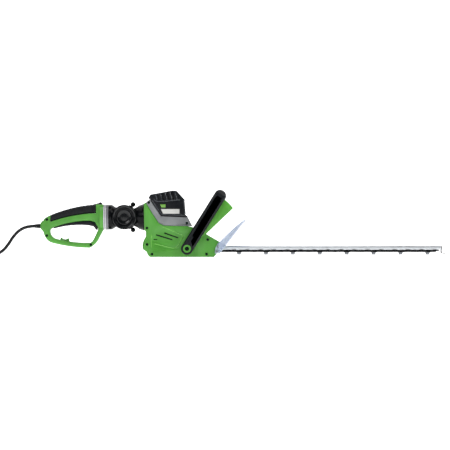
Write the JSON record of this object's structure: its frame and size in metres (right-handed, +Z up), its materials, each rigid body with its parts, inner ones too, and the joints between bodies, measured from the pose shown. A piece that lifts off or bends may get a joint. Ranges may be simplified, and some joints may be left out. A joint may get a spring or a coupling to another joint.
{
  "type": "hedge trimmer",
  "caption": "Corded hedge trimmer with toothed double blades, hoop front handle, clear guard and a rear D handle that tilts and swivels.",
  "frame": {"origin": "middle of the motor housing's flat base, on which the tool stands", "axes": "+X along the blades to their tip, +Z up, -Y the operator's right-hand side"},
  "size_m": [1.2677, 0.2837, 0.1736],
  "materials": {
    "green_shell": "moulded satin",
    "green_lever": "moulded satin",
    "black_shell": "moulded satin",
    "black_gloss": "moulded gloss",
    "soft_grip": "fine texture",
    "grey_trim": "moulded satin",
    "grey_collar": "silver paint",
    "clear_guard": "clear",
    "rail_metal": "mill finish",
    "blade_steel": "blackened, ground edges",
    "fastener_steel": "zinc",
    "dark_screw": "black oxide",
    "machined_steel": "ground",
    "laminated_iron": "stamped",
    "copper": "drawn",
    "die_cast": "cast",
    "nylon": "moulded",
    "label": "printed film",
    "accent": "printed film",
    "cord_sheath": "extruded",
    "plug_pin_brass": "nickelled"
  },
  "bodies": {
    "motor_unit": {"motor_housing_right": "green_shell", "motor_housing_left": "green_shell", "housing_screws": "dark_screw", "trim_band_right": "grey_trim", "trim_band_left": "grey_trim", "trim_screws": "dark_screw", "motor_cover": "black_shell", "rating_plates": "label", "accent_bar": "accent", "motor_field_core": "laminated_iron", "motor_bearings": "machined_steel", "crank_bearings": "machined_steel", "gear_case_upper": "die_cast", "gear_case_lower": "die_cast", "bearing_bracket": "nylon", "brush_holders": "copper", "suppression_capacitor": "nylon", "front_switch": "nylon", "guide_rail": "rail_metal", "blade_bolts": "fastener_steel", "blade_tip_guard": "blade_steel", "bail_handle": "black_shell", "bail_screws": "dark_screw", "lever_pins": "machined_steel", "hand_guard": "clear_guard", "guard_screws": "fastener_steel", "joint_neck": "black_gloss", "pivot_bolt": "machined_steel", "pivot_cap": "black_gloss"},
    "armature_rotor": {"armature": "laminated_iron", "commutator": "copper", "cooling_fan": "nylon", "pinion": "machined_steel"},
    "crank": {"crank_gear": "machined_steel"},
    "blade_upper": {"upper_blade": "blade_steel"},
    "blade_lower": {"lower_blade": "blade_steel"},
    "front_lever": {"front_switch_lever": "green_lever"},
    "joint_button": {"release_button": "black_gloss", "button_spring": "machined_steel"},
    "plunger_up": {"lock_plunger_upper": "black_gloss"},
    "plunger_down": {"lock_plunger_lower": "black_gloss"},
    "tilt_arm": {"rear_arm_right": "black_shell", "rear_arm_left": "black_shell", "arm_screws": "dark_screw", "swivel_collar": "grey_collar", "swivel_tube": "machined_steel"},
    "rear_handle": {"rear_handle_right": "green_shell", "rear_handle_left": "green_shell", "handle_screws": "dark_screw", "rear_grip": "soft_grip", "trigger_pin": "machined_steel", "rear_switch": "nylon", "cord_boot": "cord_sheath", "power_cord": "cord_sheath", "mains_plug": "cord_sheath", "plug_pins": "plug_pin_brass"},
    "trigger": {"rear_trigger": "black_shell", "trigger_spring": "machined_steel"},
    "latch": {"twist_latch": "black_shell", "latch_spring": "machined_steel"}
  },
  "joints": [
    {"name": "rotor_spin", "type": "hinge", "parent": "motor_unit", "child": "armature_rotor", "pos_m": [-0.026, 0, 0.08], "axis": [0, 0, 1], "continuous": true},
    {"name": "crank_spin", "type": "hinge", "parent": "motor_unit", "child": "crank", "pos_m": [0.00713, 0, 0.04], "axis": [0, 0, 1], "continuous": true},
    {"name": "upper_blade_stroke", "type": "slide", "parent": "motor_unit", "child": "blade_upper", "axis": [1, 0, 0], "range_m": [-0.008, 0.008]},
    {"name": "lower_blade_stroke", "type": "slide", "parent": "motor_unit", "child": "blade_lower", "axis": [1, 0, 0], "range_m": [-0.008, 0.008]},
    {"name": "front_lever_squeeze", "type": "hinge", "parent": "motor_unit", "child": "front_lever", "pos_m": [0.0291, 0, 0.0479], "axis": [0, -1, 0], "range_deg": [0, 9], "stiffness_Nm_per_rad": 2, "springref_deg": -8.59},
    {"name": "joint_button_push", "type": "slide", "parent": "motor_unit", "child": "joint_button", "axis": [0, 1, 0], "range_m": [0, 0.0025], "stiffness_N_per_m": 1200, "springref_m": -0.001, "deforming": ["button_spring"]},
    {"name": "plunger_upper_pull", "type": "slide", "parent": "motor_unit", "child": "plunger_up", "axis": [0.5519, 0, 0.8339], "range_m": [0, 0.004], "stiffness_N_per_m": 1000, "springref_m": -0.001},
    {"name": "plunger_lower_pull", "type": "slide", "parent": "motor_unit", "child": "plunger_down", "axis": [0.5519, 0, -0.8339], "range_m": [0, 0.004], "stiffness_N_per_m": 1000, "springref_m": -0.001},
    {"name": "arm_tilt", "type": "hinge", "parent": "motor_unit", "child": "tilt_arm", "pos_m": [-0.1505, 0, 0.103], "axis": [0, 1, 0], "range_deg": [-45, 45]},
    {"name": "handle_swivel", "type": "hinge", "parent": "tilt_arm", "child": "rear_handle", "pos_m": [-0.205, 0, 0.103], "axis": [1, 0, 0], "range_deg": [-90, 90]},
    {"name": "trigger_squeeze", "type": "hinge", "parent": "rear_handle", "child": "trigger", "pos_m": [-0.2285, 0, 0.0885], "axis": [0, 1, 0], "range_deg": [0, 3.5], "stiffness_Nm_per_rad": 1.5, "springref_deg": -5.73, "deforming": ["trigger_spring"]},
    {"name": "twist_latch_slide", "type": "slide", "parent": "rear_handle", "child": "latch", "axis": [-1, 0, 0], "range_m": [0, 0.004], "stiffness_N_per_m": 500, "springref_m": -0.002, "deforming": ["latch_spring"]}
  ],
  "couplings": [
    {"joint": "rotor_spin", "follows": "crank_spin", "ratio": -4.8889},
    {"joint": "lower_blade_stroke", "follows": "upper_blade_stroke", "ratio": -1}
  ]
}
